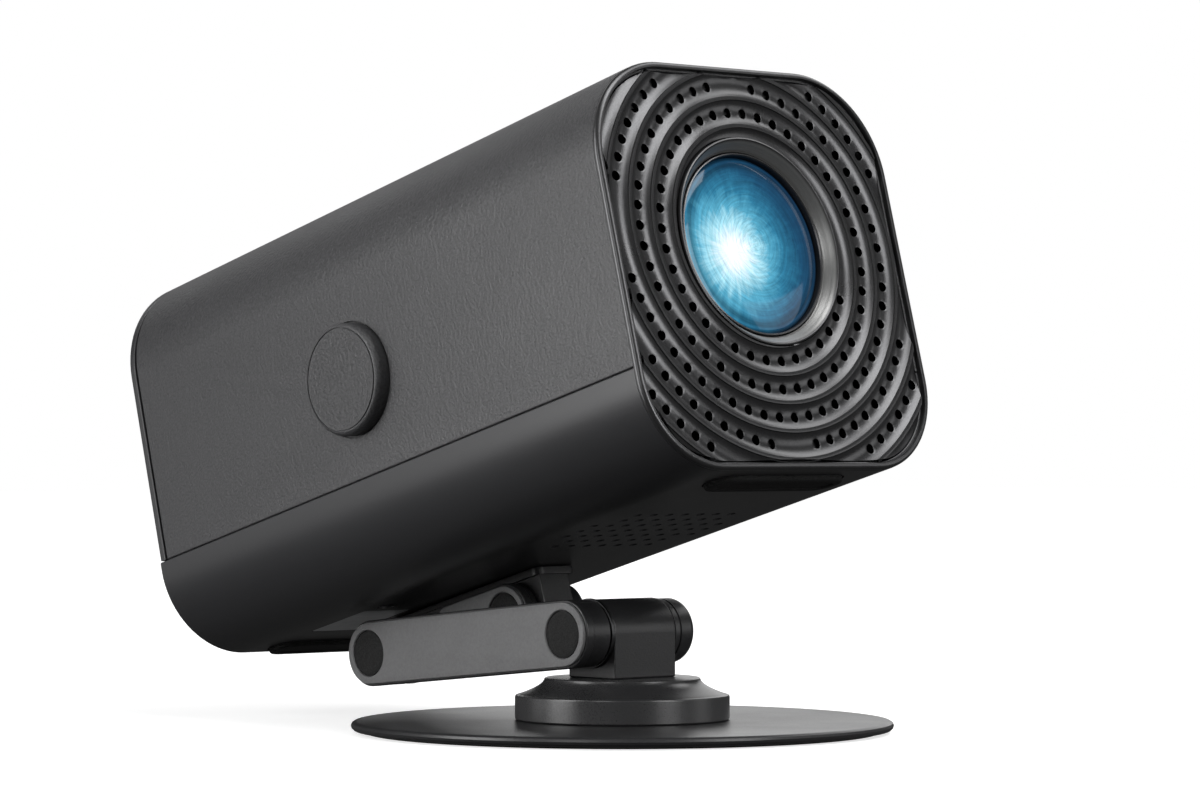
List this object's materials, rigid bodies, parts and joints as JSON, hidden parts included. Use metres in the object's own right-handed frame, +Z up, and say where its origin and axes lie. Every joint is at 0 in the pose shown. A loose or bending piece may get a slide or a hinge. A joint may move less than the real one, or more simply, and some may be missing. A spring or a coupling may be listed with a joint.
{
  "type": "home projector",
  "caption": "Long rounded-box home projector with a ringed front grille and a deep-set lens, on a two-arm folding stand with a round swivel base.",
  "frame": {"origin": "centre of the stand's round base, on the surface it stands on, below the swivel axis", "axes": "+Z up along the swivel axis; -Y the way the lens looks with the swivel at rest; +X to the right seen from the front"},
  "size_m": [0.16, 0.2521, 0.1932],
  "materials": {
    "textured_shell": "fine moulded grain, satin",
    "smooth_shell": "smooth satin",
    "front_trim": "satin moulded",
    "powder_coat": "black powder coat, semi-matt",
    "grey_metal": "mottled matt grey anodised face",
    "soft_black": "matt",
    "steel": "plain",
    "aluminium": "mill finish",
    "lens_glass": "blue coated",
    "inner_plastic": "plain moulded",
    "gear_plastic": "natural acetal",
    "circuit_board": "green solder mask",
    "lcd_glass": "panel glass"
  },
  "bodies": {
    "base": {"base_plate": "powder_coat", "base_pad": "soft_black"},
    "swivel": {"swivel_hub": "powder_coat", "swivel_bolt": "steel", "base_knuckle": "powder_coat", "base_hinge_pin": "steel", "base_washer": "steel", "base_end_cap": "powder_coat"},
    "lower_link": {"lower_arm": "powder_coat", "lower_arm_cover": "grey_metal", "lower_arm_front_insert": "soft_black", "lower_arm_rear_insert": "soft_black", "elbow_spacer": "powder_coat", "elbow_pin": "steel"},
    "upper_link": {"upper_arm": "powder_coat", "upper_arm_cover": "grey_metal", "upper_arm_insert": "soft_black", "elbow_cap": "powder_coat"},
    "projector": {"mount_bracket": "powder_coat", "mount_nut_plate": "steel", "bracket_screw_1": "steel", "bracket_screw_2": "steel", "top_hinge_pin": "steel", "top_washer": "powder_coat", "top_end_cap": "powder_coat", "upper_shell": "textured_shell", "lower_shell": "smooth_shell", "front_bezel": "front_trim", "front_grille": "front_trim", "rear_cover": "smooth_shell", "front_foot": "soft_black", "rear_foot": "soft_black", "case_screw_1": "steel", "case_screw_2": "steel", "case_screw_3": "steel", "case_screw_4": "steel", "label_plate": "aluminium", "lens_shroud": "front_trim", "focus_bushing": "gear_plastic", "engine_housing": "inner_plastic", "field_fresnel_lens": "lens_glass", "lcd_panel": "lcd_glass", "led_board": "aluminium", "heat_sink": "aluminium", "fan_frame": "inner_plastic", "main_board": "circuit_board", "power_board": "circuit_board", "speaker": "inner_plastic", "hdmi_port": "steel", "usb_port": "steel", "audio_jack": "inner_plastic", "power_inlet": "inner_plastic"},
    "lens": {"lens_barrel": "front_trim", "front_lens": "lens_glass", "rear_lens": "lens_glass", "focus_rack": "gear_plastic"},
    "focus": {"focus_knob": "textured_shell", "focus_shaft": "gear_plastic"},
    "fan": {"fan_rotor": "inner_plastic"},
    "power_button": {"power_button": "front_trim"}
  },
  "joints": [
    {"name": "base_swivel", "type": "hinge", "parent": "base", "child": "swivel", "pos_m": [0, 0, 0], "axis": [0, 0, 1], "continuous": true},
    {"name": "base_hinge", "type": "hinge", "parent": "swivel", "child": "lower_link", "pos_m": [0, 0, 0.0292], "axis": [1, 0, 0], "range_deg": [-4, 40]},
    {"name": "elbow_hinge", "type": "hinge", "parent": "lower_link", "child": "upper_link", "pos_m": [0, 0.0881, 0.02063], "axis": [-1, 0, 0], "range_deg": [-3, 120]},
    {"name": "top_hinge", "type": "hinge", "parent": "upper_link", "child": "projector", "pos_m": [0, 0.04133, 0.03306], "axis": [1, 0, 0], "range_deg": [-2, 20]},
    {"name": "focus_turn", "type": "hinge", "parent": "projector", "child": "focus", "pos_m": [0, 0.05488, 0.10377], "axis": [-1, 0, 0], "range_deg": [-14, 57]},
    {"name": "focus_slide", "type": "slide", "parent": "projector", "child": "lens", "axis": [0, -0.9656, 0.26], "range_m": [-0.0062, 0.00155]},
    {"name": "power_press", "type": "slide", "parent": "projector", "child": "power_button", "axis": [0, -0.9656, 0.26], "range_m": [0, 0.001], "stiffness_N_per_m": 500, "springref_m": -0.001},
    {"name": "fan_spin", "type": "hinge", "parent": "projector", "child": "fan", "pos_m": [0, 0.12511, 0.09346], "axis": [0, 0.9656, -0.26], "continuous": true}
  ],
  "couplings": [
    {"joint": "focus_slide", "follows": "focus_turn", "m_per_rad": -0.006}
  ]
}
